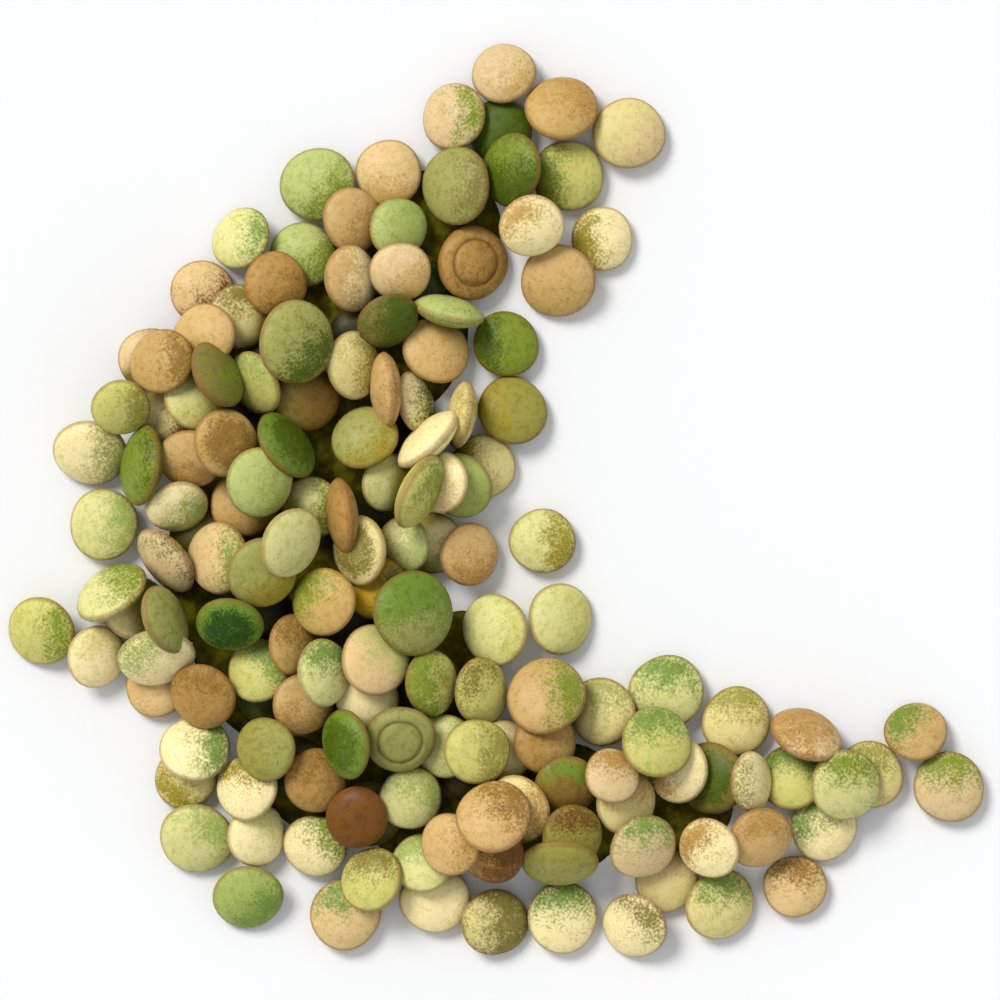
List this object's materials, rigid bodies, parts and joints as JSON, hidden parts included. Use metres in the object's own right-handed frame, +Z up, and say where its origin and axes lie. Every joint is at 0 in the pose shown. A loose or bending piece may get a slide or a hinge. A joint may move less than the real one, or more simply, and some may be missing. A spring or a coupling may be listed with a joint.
{
  "type": "heap of green lentils",
  "caption": "Loose crescent-shaped heap of dry green lentils in greens, tans, browns and creams, with a stray lentil lying just clear of its inner side.",
  "frame": {"origin": "on the ground, under the middle of the heap's outline", "axes": "+Z up from the ground; the crescent's right horn points along +X and its upper horn towards +Y"},
  "size_m": [0.0889, 0.0832, 0.0102],
  "materials": {
    "heap": "dry lentil skins, satin, in mottled greens, tans, browns and creams",
    "apart": "dry lentil skin, satin, straw green with faint mottling"
  },
  "bodies": {
    "root": {"lentil_heap": "heap", "lentil_apart": "apart"}
  },
  "joints": []
}
